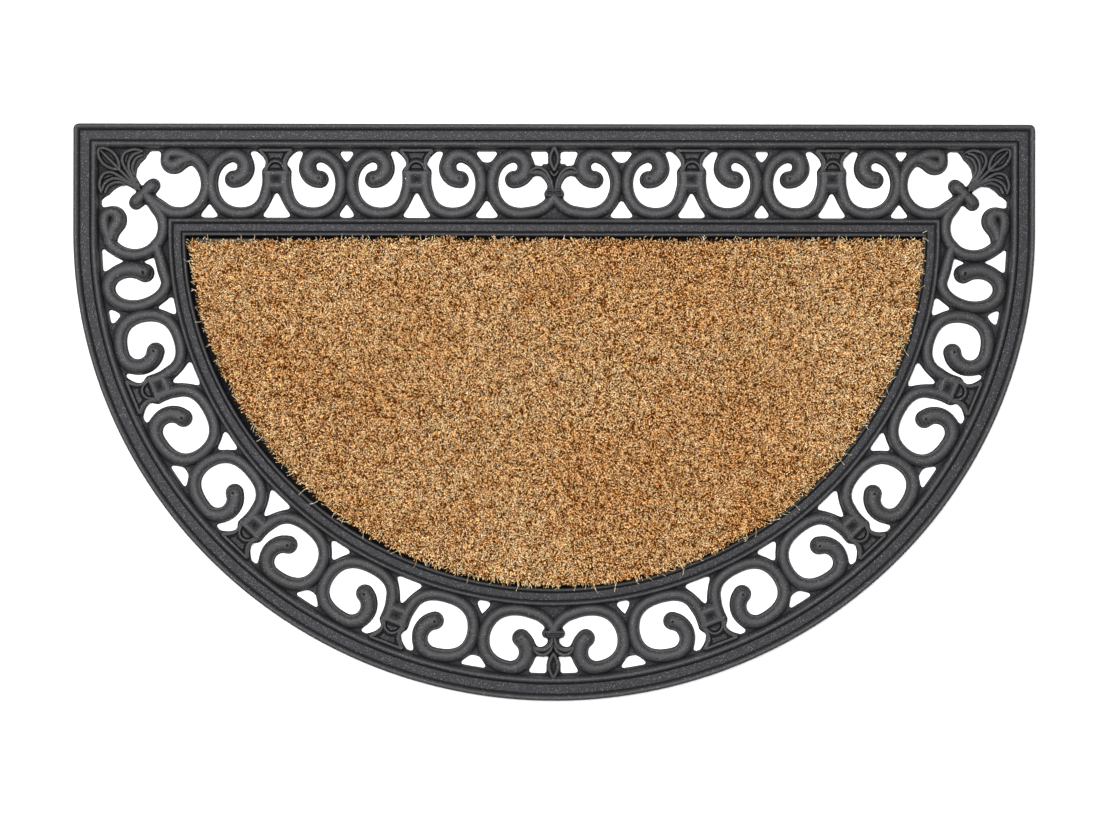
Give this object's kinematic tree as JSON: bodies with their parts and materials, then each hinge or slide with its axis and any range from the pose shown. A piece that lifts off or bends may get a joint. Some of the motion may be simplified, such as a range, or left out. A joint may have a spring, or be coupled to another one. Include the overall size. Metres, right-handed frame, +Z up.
{
  "type": "doormat",
  "caption": "Half-moon doormat: a moulded rubber frame with an openwork scroll border round a raised coir pile insert.",
  "frame": {"origin": "centre of the overall box, on the floor under the mat", "axes": "+X along the straight back edge, +Y from the curved edge towards the straight edge, +Z up out of the pile"},
  "size_m": [0.75, 0.45, 0.015],
  "materials": {
    "rubber": "satin, finely granular",
    "coir": "cut bristle pile"
  },
  "bodies": {
    "root": {"frame": "rubber", "coir": "coir"}
  },
  "joints": []
}
